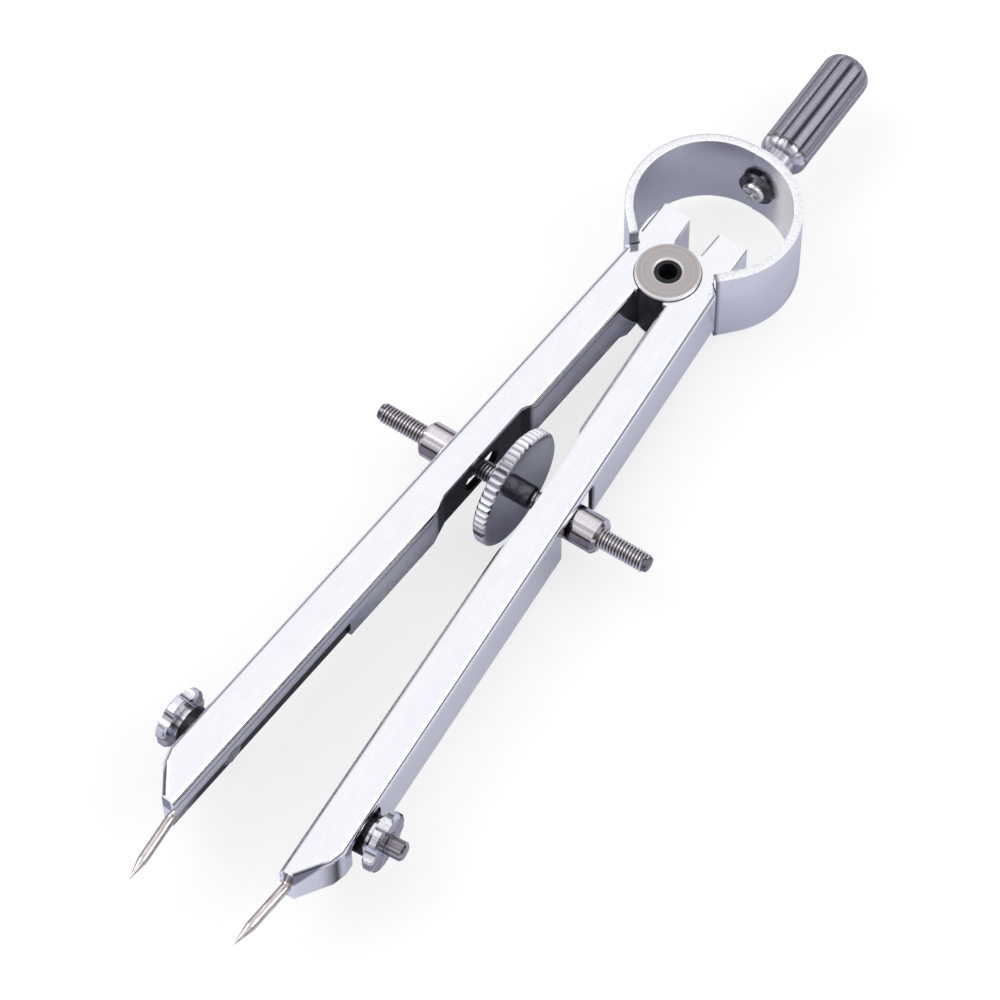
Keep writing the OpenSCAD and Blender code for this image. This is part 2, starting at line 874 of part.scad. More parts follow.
// Between that washer and the thumb nut
module clamp_collar(side) {
    color(STEEL)
        bolt_ring(side, collar_r, collar_d(side), thumb_d(side) - seat_gap);
}

module left_clamp_collar() {
    clamp_collar(-1);
}

module right_clamp_collar() {
    clamp_collar(1);
}

// Round nut with lobes for the fingers
module thumb_nut(side) {
    bevel = 0.35;
    first_hollow = side < 0 ? 36.5 : 55.8;
    color(CHROME)
        placed()
            on_leg(side)
                translate([thumb_d(side), -clamp_l, 0])
                    rotate([0, 90, 0])
                        difference() {
                            rotate_extrude()
                                polygon([
                                    [bolt_r + run_gap, 0],
                                    [thumb_nut_r - bevel, 0],
                                    [thumb_nut_r, bevel],
                                    [thumb_nut_r, thumb_nut_t - bevel],
                                    [thumb_nut_r - bevel, thumb_nut_t],
                                    [bolt_r + 0.5, thumb_nut_t],
                                    [bolt_r + run_gap, thumb_nut_t - 0.5]
                                ]);
                            for (k = [0:lobe_count - 1])
                                rotate([0, 0, first_hollow + k * 360 / lobe_count])
                                    translate([thumb_nut_r - lobe_depth + lobe_cut_r, 0, -over])
                                        cylinder(r = lobe_cut_r, h = thumb_nut_t + 2 * over);
                        }
}

module left_thumb_nut() {
    thumb_nut(-1);
}

module right_thumb_nut() {
    thumb_nut(1);
}

module needle_piece(side) {
    color(STEEL)
        placed()
            on_leg(side)
                translate([tip_d, -tip_l, 0])
                    rotate([0, 0, -needle_lean])
                        rotate([-90, 0, 0])
                            rotate_extrude()
                                polygon([
                                    [0, 0],
                                    [needle_r * 0.06, 0],
                                    [needle_r, point_len],
                                    [needle_r, needle_len - 0.3],
                                    [needle_r - 0.3, needle_len],
                                    [0, needle_len]
                                ]);
}

module left_needle() {
    needle_piece(-1);
}

module right_needle() {
    needle_piece(1);
}

spring_ring();
handle();
handle_screw();
handle_washer();
pivot_roller();
front_washer();
back_washer();
left_leg();
right_leg();
left_nut();
right_nut();
adjusting_screw();
thumbwheel();
wheel_hub();
left_clamp_bolt();
right_clamp_bolt();
left_clamp_washer();
right_clamp_washer();
left_clamp_collar();
right_clamp_collar();
left_thumb_nut();
right_thumb_nut();
left_needle();
right_needle();
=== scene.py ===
"""Looks of the spring bow compass: two ring halves, a real thread, materials, floor, light and camera."""

import math
import bpy
from mathutils import Matrix, Vector


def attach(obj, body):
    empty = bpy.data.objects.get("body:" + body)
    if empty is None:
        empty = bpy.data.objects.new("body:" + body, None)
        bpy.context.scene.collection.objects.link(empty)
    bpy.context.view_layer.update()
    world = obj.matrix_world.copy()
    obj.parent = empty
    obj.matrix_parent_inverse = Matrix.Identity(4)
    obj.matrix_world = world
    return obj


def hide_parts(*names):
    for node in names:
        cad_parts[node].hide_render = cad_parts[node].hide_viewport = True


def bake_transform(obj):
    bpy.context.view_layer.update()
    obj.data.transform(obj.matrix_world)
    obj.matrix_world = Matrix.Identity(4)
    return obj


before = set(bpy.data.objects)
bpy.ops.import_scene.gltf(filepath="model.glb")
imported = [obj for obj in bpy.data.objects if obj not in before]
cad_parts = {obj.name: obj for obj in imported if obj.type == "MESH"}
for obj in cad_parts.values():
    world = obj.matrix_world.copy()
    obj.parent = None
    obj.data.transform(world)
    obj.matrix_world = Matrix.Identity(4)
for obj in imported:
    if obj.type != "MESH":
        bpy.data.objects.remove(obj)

bl_info = {
    "name": "Spring Bow Compass",
    "version": (1, 0, 0),
    "blender": (4, 5, 0),
    "location": "View3D > Sidebar > Compass",
    "description": "Builds the visible pieces, materials and stage of a spring bow compass",
    "category": "Object",
}

MM = 0.001

# The photograph: its width, where the pivot is in it, its scale there, and the lens, all in pixels
PICTURE_PX = 1000
PIVOT_PX = (667.16, 291.43)
PX_PER_MM = 6.83
FOCAL_PX = 5000
# Turns of the part about X, Y and Z into the camera's view, in radians
VIEW_TURNS = (-0.533, -0.008, -0.595)
SENSOR_MM = 36

# Corners of a full circle on turned pieces
ROUND_CORNERS = 48


def length(name, description, default):
    """A size property in metres, given in millimetres."""
    return bpy.props.FloatProperty(
        name=name, description=description, default=default * MM, unit="LENGTH", precision=5
    )


def slope(name, description, default):
    """An angle property in radians, given in degrees."""
    return bpy.props.FloatProperty(
        name=name, description=description, default=math.radians(default), subtype="ANGLE"
    )


def tint(name, description, default):
    """A colour property, linear RGB."""
    return bpy.props.FloatVectorProperty(
        name=name, description=description, default=default, subtype="COLOR", size=3, min=0, max=1
    )


class CompassSizes(bpy.types.PropertyGroup):
    """Sizes that the visible pieces share with the CAD."""

    pivot_y: length("Pivot along", "The pivot's place along the part, read from the roller", 0)
    pivot_z: length("Pivot height", "The pivot plane's height, read from the roller", 0)
    leg_tilt: slope("Leg tilt", "Angle of each leg from the centre line", 4.27)
    leg_len: length("Leg length", "Pivot to the leg's tip", 110.6)
    leg_depth: length("Leg depth", "Front face of a leg to its rear edge", 9.6)
    leg_sheet: length("Leg sheet", "Thickness of the folded sheet", 1)
    leg_inner_top: length("Inner flank at the pivot", "Leg line to the inner flank", 1.95)
    leg_inner_low: length("Inner flank at the tip", "Leg line to the inner flank", 0.6)
    leg_outer_top: length("Outer flank at the pivot", "Leg line to the outer flank", 7.9)
    leg_outer_low: length("Outer flank at the taper", "Leg line to the outer flank", 7.05)
    taper_len: length("Taper length", "Length of the bevelled tip", 5.4)
    recess_up: length("Recess length", "Clamp's axis to where the inner flank's recess begins", 26)
    recess_depth: length("Recess depth", "Depth of that recess", 0.6)
    recess_front: length("Recess edge", "Front edge of that recess, before the pivot's plane", 0.9)
    clamp_l: length("Clamp place", "Pivot to the clamp's axis, along the leg", 98)
    washer_r: length("Washer radius", "Outer radius of the pivot's washers", 4.9)
    washer_bore_r: length("Washer bore", "Radius of the washers' bore", 2.05)
    ring_r: length("Ring radius", "Outer radius of the ring's flanks", 12.5)
    ring_flat: length("Ring flat", "Half of the flat at the ring's top", 0.7)
    ring_height: length("Ring height", "Flank centres above the pivot", 12.3)
    strip_t: length("Strip thickness", "Thickness of the ring's strip", 1.4)
    strip_w: length("Strip width", "Width of the ring's strip", 14.4)
    strip_edge: length("Strip edge", "Rounding of the strip's edges", 0.22)
    arm_len: length("Arm length", "Straight end of the strip", 3.5)
    arm_slope: slope("Arm slope", "Slope of the straight ends", 47)
    handle_off: length("Handle offset", "Handle to the right of the ring's middle", 1.1)
    handle_h: length("Handle height", "Ring's top to the handle's top", 24.4)
    shoulder_h: length("Shoulder height", "Ring's top to where the grip reaches its full width", 5.3)
    grip_r: length("Grip radius", "Outer radius of the grip", 3.75)
    screw_hole_r: length("Screw hole", "Radius of the hole for the handle's screw", 1.05)
    rod_r: length("Rod radius", "Radius over the thread", 1.5)
    rod_half: length("Rod half length", "Half of the rod's length", 23.2)
    rod_drop: length("Rod place", "Rod below the pivot", 40.1374)
    pitch: length("Pitch", "Pitch of the thread", 0.5)
    thread_depth: length("Thread depth", "Depth of the thread", 0.3)
    seat_over: length("Seat length", "Plain seat beyond each face of the thumbwheel", 0.3)
    wheel_r: length("Wheel radius", "Radius of the thumbwheel over its teeth", 9.25)
    wheel_t: length("Wheel thickness", "Thickness of the thumbwheel", 2.2)


class CompassColours(bpy.types.PropertyGroup):
    """Base colours of the finishes, linear."""

    leg: tint("Legs", "Bright plate on the legs", (0.93, 0.93, 0.96))
    ring: tint("Ring", "Polished spring strip", (0.80, 0.80, 0.85))
    handle: tint("Handle", "Satin plate on the grip", (0.44, 0.43, 0.49))
    nut: tint("Nuts", "Turned swivel nuts", (0.78, 0.74, 0.77))
    wheel: tint("Wheel", "Bright plate on the thumbwheel, collars and thumb nuts", (0.84, 0.85, 0.90))
    thread: tint("Thread", "Rolled thread", (0.66, 0.64, 0.65))
    washer: tint("Washers", "Brushed washers", (0.47, 0.435, 0.425))
    needle: tint("Needles", "Ground needles", (0.62, 0.57, 0.55))
    screw_head: tint("Screw head", "Bright head of the handle's screw", (0.80, 0.79, 0.80))
    dark: tint("Dark steel", "Oiled dark steel", (0.10, 0.095, 0.11))
    plastic: tint("Plastic", "Black roller", (0.012, 0.012, 0.015))
    floor_seen: tint("Floor in metal", "Floor colour that metal mirrors", (0.60, 0.61, 0.70))


def sizes():
    return bpy.context.scene.compass_sizes


def in_mm(name):
    """One of the sizes in millimetres, for shader maths."""
    return getattr(sizes(), name) / MM


def colours():
    return bpy.context.scene.compass_colours


def shade(colour, factor):
    return tuple(min(1.0, part * factor) for part in colour[:3])


class Wave:
    """A shader socket that plain arithmetic works on."""

    def __init__(self, tree, socket):
        self.tree = tree
        self.socket = socket

    def math(self, operation, *others):
        node = self.tree.nodes.new("ShaderNodeMath")
        node.operation = operation
        self.tree.links.new(self.socket, node.inputs[0])
        for i, other in enumerate(others, 1):
            if isinstance(other, Wave):
                self.tree.links.new(other.socket, node.inputs[i])
            else:
                node.inputs[i].default_value = other
        return Wave(self.tree, node.outputs[0])

    def _lift(self, value):
        node = self.tree.nodes.new("ShaderNodeValue")
        node.outputs[0].default_value = value
        return Wave(self.tree, node.outputs[0])

    def __add__(self, other):
        return self.math("ADD", other)

    __radd__ = __add__

    def __sub__(self, other):
        return self.math("SUBTRACT", other)

    def __rsub__(self, other):
        return self._lift(other).math("SUBTRACT", self)

    def __mul__(self, other):
        return self.math("MULTIPLY", other)

    __rmul__ = __mul__

    def __truediv__(self, other):
        return self.math("DIVIDE", other)

    def __rtruediv__(self, other):
        return self._lift(other).math("DIVIDE", self)

    def __abs__(self):
        return self.math("ABSOLUTE")

    def root(self):
        return self.math("SQRT")

    def clamp(self):
        node = self.tree.nodes.new("ShaderNodeClamp")
        self.tree.links.new(self.socket, node.inputs["Value"])
        return Wave(self.tree, node.outputs[0])

    def fade(self, low, high, to_low=0.0, to_high=1.0):
        """Smooth step up from low to high."""
        node = self.tree.nodes.new("ShaderNodeMapRange")
        node.interpolation_type = "SMOOTHSTEP"
        self.tree.links.new(self.socket, node.inputs["Value"])
        for name, value in (("From Min", low), ("From Max", high), ("To Min", to_low), ("To Max", to_high)):
            node.inputs[name].default_value = value
        return Wave(self.tree, node.outputs[0])

    def fall(self, low, high):
        """Smooth step down from low to high."""
        return self.fade(low, high, 1.0, 0.0)


class Finish:
    """One procedural material, built up node by node."""

    def __init__(self, name):
        self.material = bpy.data.materials.new(name)
        self.material.use_nodes = True
        self.tree = self.material.node_tree
        self.tree.nodes.clear()
        self.output = self.node("ShaderNodeOutputMaterial")
        self.place = self.node("ShaderNodeTexCoord").outputs["Object"]

    def feed(self, socket, value):
        """Links a wave or a socket, or sets a plain value; a colour gets its alpha."""
        if isinstance(value, Wave):
            value = value.socket
        if isinstance(value, bpy.types.NodeSocket):
            self.tree.links.new(value, socket)
        elif socket.type == "RGBA" and len(value) == 3:
            socket.default_value = (*value, 1)
        else:
            socket.default_value = value

    def node(self, kind, settings=None, **inputs):
        made = self.tree.nodes.new(kind)
        for key, value in (settings or {}).items():
            setattr(made, key, value)
        for key, value in inputs.items():
            self.feed(made.inputs[key.replace("_", " ")], value)
        return made

    def axes(self, middle=(0, 0, 0)):
        """x, y and z in millimetres from a point given in metres."""
        moved = self.node("ShaderNodeVectorMath", {"operation": "SUBTRACT"})
        self.feed(moved.inputs[0], self.place)
        self.feed(moved.inputs[1], middle)
        scaled = self.node("ShaderNodeVectorMath", {"operation": "SCALE"}, Scale=1 / MM)
        self.feed(scaled.inputs[0], moved.outputs[0])
        parts = self.node("ShaderNodeSeparateXYZ", None, Vector=scaled.outputs[0])
        return [Wave(self.tree, socket) for socket in parts.outputs]

    def leg_axes(self, side):
        """Millimetres along a leg from the pivot, across it from the leg line, and in height."""
        size = sizes()
        x, y, z = self.axes((0, size.pivot_y, size.pivot_z))
        along = x * (math.sin(size.leg_tilt) * side) - y * math.cos(size.leg_tilt)
        across = x * (math.cos(size.leg_tilt) * side) + y * math.sin(size.leg_tilt)
        return along, across, z

    def rod_axes(self):
        """Millimetres along the cross screw from its middle, across it, in height, and out from its axis."""
        size = sizes()
        x, y, z = self.axes((0, size.pivot_y - size.rod_drop, size.pivot_z))
        return x, y, z, (y * y + z * z).root()

    def vector(self, x, y, z):
        return self.node("ShaderNodeCombineXYZ", None, X=x, Y=y, Z=z).outputs[0]

    def noise(self, at, detail, roughness=0.55):
        made = self.node("ShaderNodeTexNoise", None, Vector=at, Scale=1.0, Detail=detail, Roughness=roughness)
        return Wave(self.tree, made.outputs["Fac"])

    def streaks(self, a, b, count):
        """Noise that changes round an axis only, for painted reflection bands and fine ticks; a and b are the
        distances across it.
        """
        radius = (a * a + b * b).root() + 0.01
        return self.noise(self.vector(a / radius * count, b / radius * count, 0.3), 2.0)

    def mix(self, share, first, second):
        """Colour that goes over from the first one to the second one."""
        made = self.node("ShaderNodeMix", {"data_type": "RGBA"})
        enabled = [socket for socket in made.inputs if socket.enabled]
        for socket, value in zip(enabled, (share, first, second)):
            self.feed(socket, value)
        return next(socket for socket in made.outputs if socket.enabled)

    def bump(self, height, strength, distance_mm):
        made = self.node("ShaderNodeBump", None, Strength=strength, Distance=distance_mm * MM, Height=height)
        return made.outputs[0]

    def surface(self, colour, rough, normal, metallic=1.0, shine=0.5):
        shader = self.node(
            "ShaderNodeBsdfPrincipled",
            None,
            Base_Color=colour,
            Roughness=rough,
            Normal=normal,
            Metallic=metallic,
            Specular_IOR_Level=shine,
        )
        self.feed(self.output.inputs["Surface"], shader.outputs[0])
        return self.material


def leg_shadows(along, across, z, shade_noise):
    """Painted shade on a leg: pairs of share and colour, and the share of the fold's inside."""
    leg_end = in_mm("leg_len")
    taper_start = leg_end - in_mm("taper_len")
    front = in_mm("leg_depth") / 2
    web_back = front - in_mm("leg_sheet")
    inner_top = in_mm("leg_inner_top")
    outer_top = in_mm("leg_outer_top")
    from_inner = across - (along * ((in_mm("leg_inner_low") - inner_top) / leg_end) + inner_top)
    from_outer = along * ((in_mm("leg_outer_low") - outer_top) / taper_start) + outer_top - across
    below_head = along.fade(8.0, 11.0)

    # Painted shade on the inner flank: darker towards the rear, a dark line along the fold, and darker still
    # at the rear near the tip
    flank = from_inner.fall(0.15, 0.4) * below_head
    rear = z.fall(-3.4, 1.6) * from_inner.fade(0.9, 0.2, 0.0, 1.0)
    fold = flank * z.fade(web_back - 1.05, web_back - 0.85) * z.fall(web_back - 0.65, web_back - 0.45)
    low = flank * along.fade(64.0, 72.0) * (z - shade_noise * 1.6).fall(-0.2, 1.2)

    # Painted dark reflection on the tip's bevel, near its front edge
    slanting = z + (along - taper_start - 0.4) * 0.7
    bevel = along.fade(taper_start + 0.2, taper_start + 0.8) * slanting.fade(front + 0.1, front + 0.9)
    bevel = bevel * z.fall(front - 0.3, front - 0.1) * from_inner.fade(0.5, 0.8)

    # Painted shade in the recess of the inner flank
    recess_start = in_mm("clamp_l") - in_mm("recess_up")
    recess_edge = in_mm("recess_front")
    deep = in_mm("recess_depth")
    recess = from_inner.fade(deep - 0.3, deep - 0.1) * from_inner.fall(deep + 0.2, deep + 0.5)
    recess = recess * z.fall(recess_edge - 0.2, recess_edge + 0.1)
    recess = recess * along.fade(recess_start - 4.0, recess_start + 1.0)

    # Inside of the fold: dull dark metal, and painted shade of the hollow
    inside = from_inner.fade(0.15, 0.5) * from_outer.fade(0.15, 0.5) * z.fall(web_back - 0.05, web_back + 0.5)
    inside = inside * below_head * along.fall(taper_start - 0.2, taper_start + 2.8)

    shadows = (
        (rear * shade_noise.fade(0.25, 0.6) * 0.75, (0.20, 0.20, 0.24)),
        (fold * 0.7, (0.16, 0.16, 0.22)),
        (low * 0.6, (0.22, 0.22, 0.30)),
        (bevel * 0.85, (0.12, 0.12, 0.17)),
        (recess * shade_noise.fade(0.2, 0.5) * 0.85, (0.07, 0.07, 0.085)),
        (inside * shade_noise.fade(0.1, 0.4), (0.035, 0.034, 0.04)),
    )
    return shadows, inside


def leg_finish(name, side):
    """Bright plate: fine lengthwise polish, small pits, cloudiness; painted shade on the inner flank, in its
    recess and on the tip's bevel; inside the fold dull dark metal with painted shade.
    """
    look = Finish(name)
    along, across, z = look.leg_axes(side)
    streak = look.noise(look.vector(across * 9.0, along * 0.35, z * 9.0), 4.0)
    cloud = look.noise(look.vector(across * 0.5, along * 0.12, z * 0.5), 2.0)
    pits = look.noise(look.vector(across * 3.0, along * 3.0, z * 3.0), 6.0).fade(0.62, 0.78)
    # Noise that breaks up the painted shade; it also roughens the inside of the fold
    shade_noise = look.noise(look.vector(across * 1.5, along * 0.8, z * 1.5), 5.0, 0.65)
    shadows, inside = leg_shadows(along, across, z, shade_noise)
    base = colours().leg
    colour = look.mix(streak.fade(0.35, 0.7), shade(base, 0.97), shade(base, 1.03))
    colour = look.mix(cloud.fade(0.4, 0.7) * 0.35, colour, (0.86, 0.86, 0.92))
    colour = look.mix(pits * 0.15, colour, (0.55, 0.54, 0.60))
    for share, dark in shadows:
        colour = look.mix(share, colour, dark)
    rough = streak * 0.06 + cloud * 0.05 + pits * 0.1 + inside * 0.3 + 0.07
    normal = look.bump(streak * 0.5 + pits * -0.6 + inside * shade_noise, 0.05, 0.02)
    return look.surface(colour, rough, normal)


def ring_finish(name):
    """Spring strip: drawing lines along it, a rough sheared rim; inside, painted shade at the left end and a
    painted white reflection on the right; painted shade at the arms' ends.
    """
    look = Finish(name)
    size = sizes()
    x, y, z = look.axes((0, size.pivot_y + size.ring_height, size.pivot_z))
    angle = x.math("ARCTAN2", y)
    lines = look.noise(look.vector(angle * 2.0, z * 9.0, 0.0), 5.0)
    cloud = look.noise(look.vector(angle * 3.0, z * 0.4, 0.3), 2.0)
    grain = look.noise(look.vector(x * 2.2, y * 2.2, z * 2.2), 7.0, 0.7)

    edge = in_mm("strip_w") / 2
    inner_r = in_mm("ring_r") - in_mm("strip_t")
    arm_end = in_mm("arm_len")
    down_arm = (abs(x) - in_mm("ring_flat")) * -math.cos(size.arm_slope) - y * math.sin(size.arm_slope)
    rim = abs(z).fade(edge - 0.25, edge - 0.05)
    wall = (x * x + y * y).root().fall(inner_r + 0.5, inner_r + 0.9) * (1.0 - rim)
    # Painted white reflection on the right part of the inner wall, which is less metallic there
    bright = wall * angle.fade(0.22, 0.55)

    base = colours().ring
    colour = look.mix(lines.fade(0.35, 0.7), shade(base, 0.96), shade(base, 1.03))
    colour = look.mix(cloud.fade(0.45, 0.75) * 0.25, colour, (0.62, 0.62, 0.72))
    colour = look.mix(rim * grain.fade(0.35, 0.6), colour, (0.97, 0.97, 0.97))
    # Painted shade at the left end of the inner wall
    colour = look.mix(wall * angle.fade(-0.9, -1.9) * 0.7, colour, (0.25, 0.26, 0.32))
    colour = look.mix(bright, colour, (0.99, 0.99, 0.99))
    # Painted shade on the last part of each arm, where it goes into the leg's head
    colour = look.mix(down_arm.fade(arm_end - 0.9, arm_end - 0.1) * 0.85, colour, (0.08, 0.08, 0.10))
    rough = lines * 0.06 + cloud * 0.06 + rim * 0.12 + 0.16
    normal = look.bump(lines * (1.0 - rim) * 0.16 + rim * grain * 2.4, 0.35, 0.05)
    return look.surface(colour, rough, normal, metallic=1.0 - bright * 0.75)


def handle_finish(name):
    """Satin plate: grain along the grip, dark specks, painted shade in the flutes' grooves, painted dark
    reflection stripes round the grip, a ragged painted dark line where the flutes end, a brighter neck with
    painted dark reflection bands.
    """
    look = Finish(name)
    size = sizes()
    x, y, z = look.axes((size.handle_off, size.pivot_y + size.ring_height + size.ring_r, size.pivot_z))
    radius = (x * x + z * z).root()
    lines = look.noise(look.vector(x * 6.0, y * 0.3, z * 6.0), 4.0)
    speck = look.noise(look.vector(x * 5.0, y * 4.0, z * 5.0), 7.0, 0.7)
    # Painted dark reflection stripes along the grip
    fine = look.streaks(x, z, 11.0)

    grip_r = in_mm("grip_r")
    shoulder = in_mm("shoulder_h")
    top = in_mm("handle_h")
    grip = y.fade(shoulder - 0.3, shoulder + 0.9)
    # Painted shade in the grooves of the flutes
    valley = radius.fall(grip_r - 0.39, grip_r - 0.09) * grip * y.fall(top - 2.2, top - 1.0)
    # Ragged painted dark line where the flutes end
    ragged = y + speck * 1.6
    end_line = ragged.fade(shoulder + 0.7, shoulder + 0.95) * ragged.fall(shoulder + 1.15, shoulder + 1.45)
    # Painted dark reflection bands on the neck
    mirrored = look.streaks(x, z, 1.7).fade(0.47, 0.56) * y.fall(shoulder - 0.1, shoulder + 0.7)

    base = colours().handle
    neck = look.mix(lines.fade(0.3, 0.8) * 0.4, (0.72, 0.70, 0.76), (0.50, 0.49, 0.55))
    colour = look.mix(lines.fade(0.3, 0.7), shade(base, 0.86), shade(base, 1.12))
    colour = look.mix(speck.fade(0.40, 0.66) * 0.6, colour, (0.27, 0.26, 0.31))
    colour = look.mix(fine.fade(0.50, 0.58) * 0.55, colour, (0.20, 0.19, 0.23))
    colour = look.mix(valley * 0.75, colour, (0.05, 0.045, 0.07))
    colour = look.mix(grip, neck, colour)
    colour = look.mix(mirrored * 0.65, colour, (0.20, 0.19, 0.23))
    colour = look.mix(end_line * 0.75, colour, (0.06, 0.055, 0.075))
    rough = lines * 0.12 + speck * 0.20 + grip * 0.26 + 0.14
    normal = look.bump(lines * 0.5 + speck * 1.6, 0.4, 0.04)
    return look.surface(colour, rough, normal)


def nut_finish(name):
    """Turned nut on the rod: rings round it, a soft stain, and painted dark reflection bands along it."""
    look = Finish(name)
    x, y, z, radius = look.rod_axes()
    rings = look.noise(look.vector(x * 8.0, radius * 8.0, 0.5), 4.0)
    stain = look.noise(look.vector(x * 0.8, y * 0.8, z * 0.8), 3.0)
    base = colours().nut
    colour = look.mix(rings.fade(0.3, 0.72), shade(base, 0.88), shade(base, 1.06))
    colour = look.mix(stain.fade(0.5, 0.8) * 0.45, colour, (0.56, 0.46, 0.50))
    # Painted dark reflection bands along the nut
    colour = look.mix(look.streaks(y, z, 2.1).fade(0.46, 0.58) * 0.8, colour, (0.13, 0.10, 0.12))
    rough = rings * 0.08 + stain * 0.06 + 0.07
    normal = look.bump(rings, 0.08, 0.02)
    return look.surface(colour, rough, normal)


def clamp_finish(name, side, base, count, face_r):
    """Turned part on a clamp's axis: painted dark reflection bands and fine ticks round it, painted shade
    within face_r.
    """
    look = Finish(name)
    along, across, z = look.leg_axes(side)
    down = along - in_mm("clamp_l")
    radius = (down * down + z * z).root()
    rings = look.noise(look.vector(across * 6.0, radius * 6.0, 0.5), 4.0)
    ticks = look.streaks(down, z, 15.0).fade(0.52, 0.60)
    # Painted dark reflection bands round the part
    shadow = look.streaks(down, z, count).fade(0.46, 0.58)
    colour = look.mix(rings.fade(0.3, 0.72), shade(base, 0.86), shade(base, 1.04))
    colour = look.mix(ticks * 0.45, colour, (0.30, 0.27, 0.31))
    colour = look.mix(shadow * 0.75, colour, (0.14, 0.12, 0.15))
    # Painted shade on the face, within face_r of the axis
    colour = look.mix(radius.fall(face_r - 0.2, face_r) * 0.6, colour, (0.34, 0.33, 0.39))
    rough = rings * 0.08 + ticks * 0.06 + 0.10
    normal = look.bump(rings * 0.4 - ticks * 0.6, 0.15, 0.03)
    return look.surface(colour, rough, normal)


def wheel_finish(name):
    """Thumbwheel: bright rim with painted shade in the roots between the teeth, turning rings, and faces with
    painted shade, darker towards one side.
    """
    look = Finish(name)
    x, y, z, radius = look.rod_axes()
    rings = look.noise(look.vector(radius * 5.0, 0.3, x * 5.0), 4.0)
    sweep = look.noise(look.vector(y * 0.22, z * 0.22, 0.8), 2.0)
    rim_r = in_mm("wheel_r")
    face = radius.fall(rim_r - 0.75, rim_r - 0.45)
    # Painted shade in the roots between the teeth
    root = radius.fade(rim_r - 0.65, rim_r - 0.45) * radius.fall(rim_r - 0.37, rim_r - 0.13)
    # Painted shade on the faces, darker towards one side, broken up by the sweep noise
    slant = (y * 0.7 + z * 0.7).fade(-7.0, 9.0, 0.75, 0.0)
    base = colours().wheel
    colour = look.mix(rings.fade(0.3, 0.75), shade(base, 1.0), shade(base, 1.1))
    colour = look.mix(face * (sweep.fade(0.3, 0.7) * 0.15 + slant), colour, (0.30, 0.30, 0.37))
    colour = look.mix(root * 0.55, colour, (0.16, 0.15, 0.18))
    rough = rings * 0.05 + sweep * 0.04 + 0.10
    normal = look.bump(rings, 0.05, 0.02)
    return look.surface(colour, rough, normal)


def thread_finish(name):
    """Rolled thread: bright crests over roots darkened with painted shade, streaked along the rod."""
    look = Finish(name)
    x, y, z, radius = look.rod_axes()
    streak = look.noise(look.vector(x * 0.6, y * 5.0, z * 5.0), 4.0)
    crest_r = in_mm("rod_r")
    crest = radius.fade(crest_r - 0.26, crest_r - 0.10)
    base = colours().thread
    colour = look.mix(streak.fade(0.3, 0.7), shade(base, 0.85), shade(base, 1.25))
    # Painted shade in the roots of the thread
    colour = look.mix(crest, (0.16, 0.15, 0.17), colour)
    rough = streak * 0.18 + 0.16 - crest * 0.04
    normal = look.bump(streak, 0.25, 0.03)
    return look.surface(colour, rough, normal)


def washer_finish(name):
    """Washer brushed in circles round the pivot, with a painted highlight on the chamfer at both edges."""
    look = Finish(name)
    size = sizes()
    x, y, z = look.axes((0, size.pivot_y, size.pivot_z))
    radius = (x * x + y * y).root()
    rings = look.noise(look.vector(radius * 9.0, 0.2, z), 4.0)
    broad = look.noise(look.vector(radius * 1.6, 0.7, 0.1), 2.0)
    grit = look.noise(look.vector(x * 4.0, y * 4.0, z * 4.0), 6.0, 0.65)
    outer_r = in_mm("washer_r")
    bore_r = in_mm("washer_bore_r")
    outer_edge = radius.fade(outer_r - 0.32, outer_r - 0.22)
    bore_edge = radius.fall(bore_r + 0.23, bore_r + 0.31)
    # Painted highlight on the chamfers
    chamfer = (outer_edge + bore_edge).clamp()
    base = colours().washer
    colour = look.mix(rings.fade(0.3, 0.7), shade(base, 0.88), shade(base, 1.10))
    colour = look.mix(broad.fade(0.4, 0.7) * 0.25, colour, (0.42, 0.38, 0.37))
    colour = look.mix(grit.fade(0.45, 0.75) * 0.3, colour, (0.34, 0.31, 0.30))
    colour = look.mix(chamfer, colour, (0.92, 0.90, 0.90))
    rough = rings * 0.12 + grit * 0.16 + 0.22 + chamfer * 0.2
    normal = look.bump(rings * 0.5 + grit, 0.25, 0.03)
    return look.surface(colour, rough, normal)


def needle_finish(name):
    """Ground needle: fine scratches along it, with warmer and darker patches."""
    look = Finish(name)
    size = sizes()
    x, y, z = look.axes((0, size.pivot_y, size.pivot_z))
    lines = look.noise(look.vector(x * 7.0, y * 0.5, z * 7.0), 4.0)
    heat = look.noise(look.vector(x * 0.9, y * 0.5, z * 0.9), 3.0)
    base = colours().needle
    colour = look.mix(lines.fade(0.3, 0.7), shade(base, 0.75), shade(base, 1.22))
    colour = look.mix(heat.fade(0.45, 0.75) * 0.5, colour, (0.42, 0.33, 0.30))
    rough = lines * 0.16 + heat * 0.06 + 0.18
    normal = look.bump(lines, 0.25, 0.02)
    return look.surface(colour, rough, normal)


def oiled_finish(name, base, least_rough):
    """Oiled steel: cloudy film, worn lighter in specks."""
    look = Finish(name)
    x, y, z = look.axes()
    film = look.noise(look.vector(x * 1.4, y * 1.4, z * 1.4), 4.0)
    worn = look.noise(look.vector(x * 5.0, y * 5.0, z * 5.0), 6.0, 0.65).fade(0.6, 0.75)
    colour = look.mix(film.fade(0.3, 0.7), shade(base, 0.6), shade(base, 1.5))
    colour = look.mix(worn * 0.5, colour, (0.38, 0.36, 0.38))
    rough = film * 0.2 + worn * 0.1 + least_rough
    normal = look.bump(film + worn, 0.3, 0.03)
    return look.surface(colour, rough, normal)


